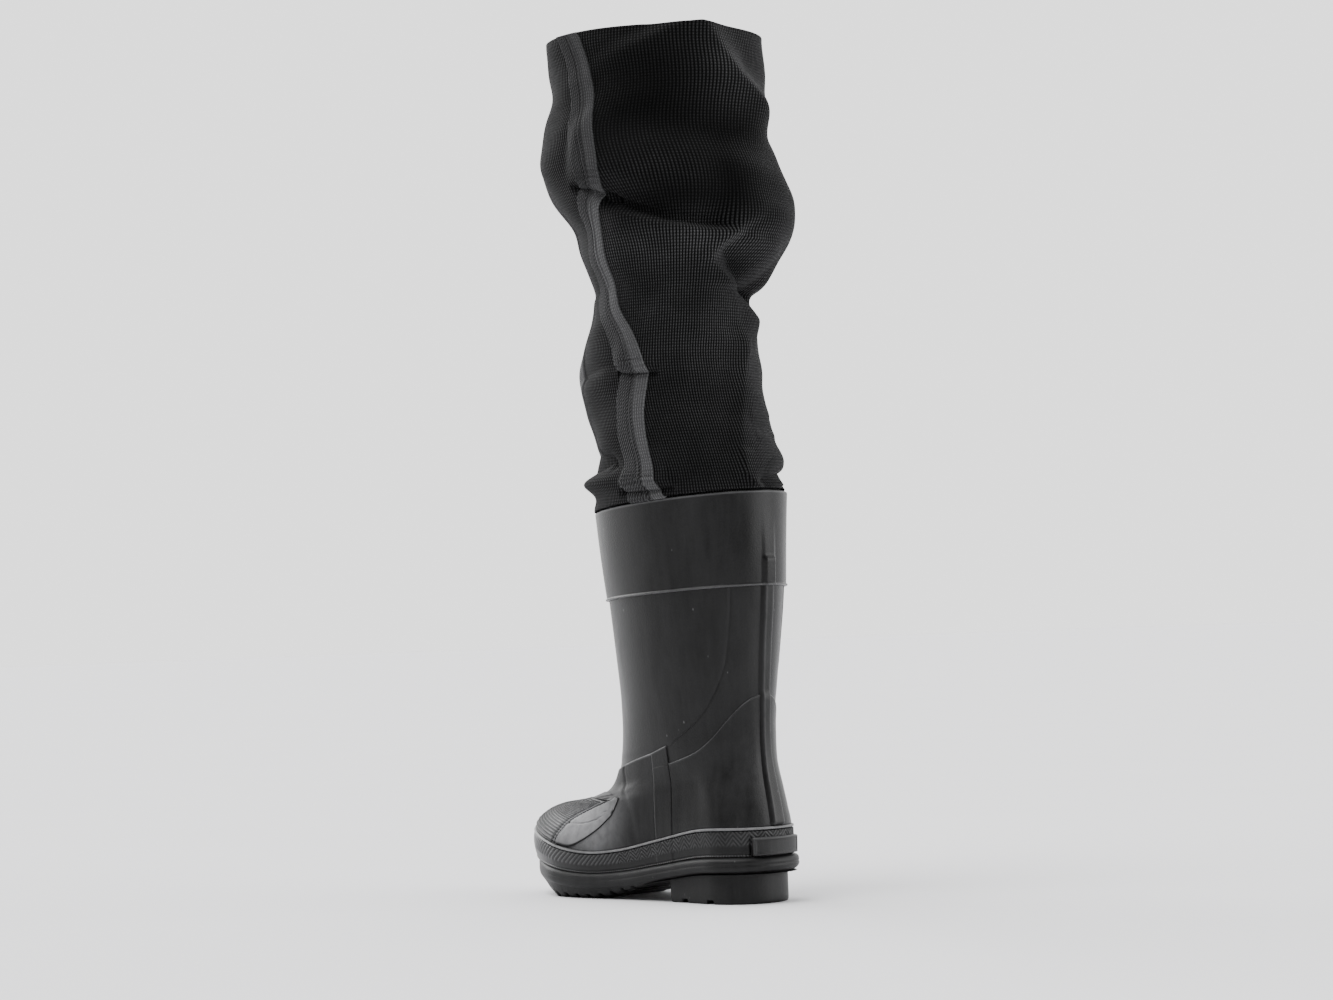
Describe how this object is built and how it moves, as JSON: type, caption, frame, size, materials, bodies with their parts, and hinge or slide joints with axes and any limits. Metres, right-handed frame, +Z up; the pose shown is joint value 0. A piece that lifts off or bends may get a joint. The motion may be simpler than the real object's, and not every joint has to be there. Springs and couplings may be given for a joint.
{
  "type": "wader leg",
  "caption": "Left leg of a pair of waders: a hollow rubber boot with heeled, grooved sole, overlays and collar band, and a folded neoprene leg tucked into its collar",
  "frame": {"origin": "on the floor under the middle of the heel, on the heel block's ground face", "axes": "+Z up along the leg, +Y to the toe, -X to the outer side of the left foot"},
  "size_m": [0.1958, 0.3006, 0.7053],
  "materials": {
    "sole_rubber": "matte",
    "boot_rubber": "satin",
    "trim_rubber": "satin",
    "insole_foam": "matte",
    "neoprene": "matte",
    "seam_tape": "matte",
    "knee_patch": "matte"
  },
  "bodies": {
    "root": {"outsole": "sole_rubber", "heel": "sole_rubber", "insole": "insole_foam", "upper": "boot_rubber", "foxing": "trim_rubber", "heel_patch": "trim_rubber", "counter": "boot_rubber", "vamp": "boot_rubber", "toe_cap": "boot_rubber", "side_strip_outer": "boot_rubber", "side_strip_inner": "boot_rubber", "back_seam": "boot_rubber", "collar_band": "boot_rubber", "leg": "neoprene", "seam_tape": "seam_tape", "knee_patch": "knee_patch"}
  },
  "joints": []
}
